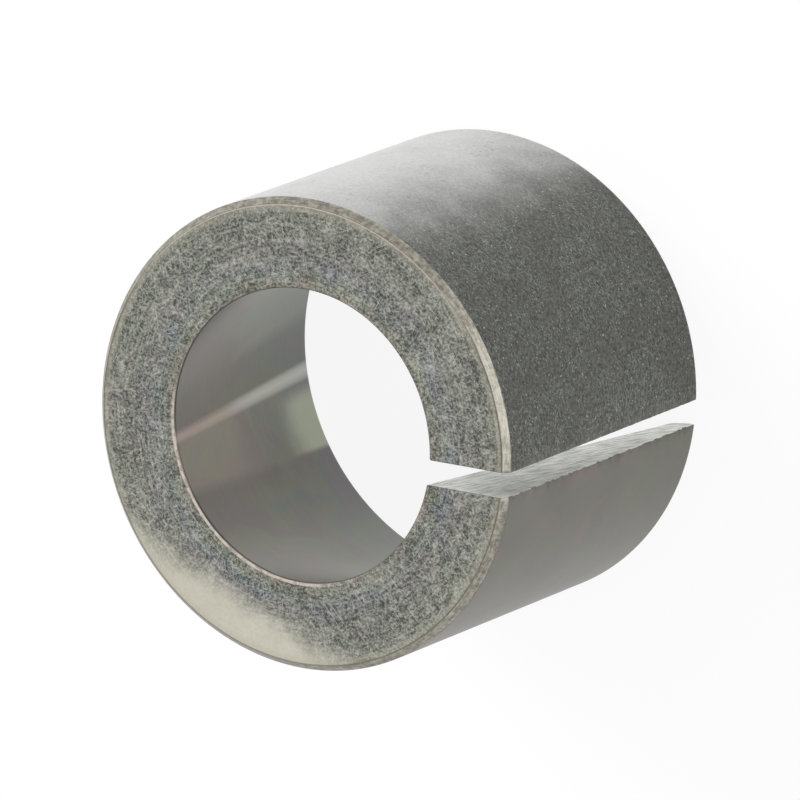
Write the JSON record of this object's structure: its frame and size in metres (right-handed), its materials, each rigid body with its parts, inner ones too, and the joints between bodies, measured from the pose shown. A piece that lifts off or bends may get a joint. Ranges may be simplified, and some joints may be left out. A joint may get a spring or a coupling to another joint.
{
  "type": "taper bush",
  "caption": "Slotted steel bush: a plain cylindrical outside, a tapered bore that opens to a wide thin-rimmed mouth, and a saw cut along its length that lets it close on a tapered stud.",
  "frame": {"origin": "centre of the rim at the wide mouth, on the axis, at the surface that the bush stands on", "axes": "+Z along the axis towards the small end of the bore, +X towards the saw cut"},
  "size_m": [0.04, 0.04, 0.03],
  "materials": {
    "plated_steel": "turned steel with a thin clear-passivated zinc plate"
  },
  "bodies": {
    "root": {"taper_bush": "plated_steel"}
  },
  "joints": []
}
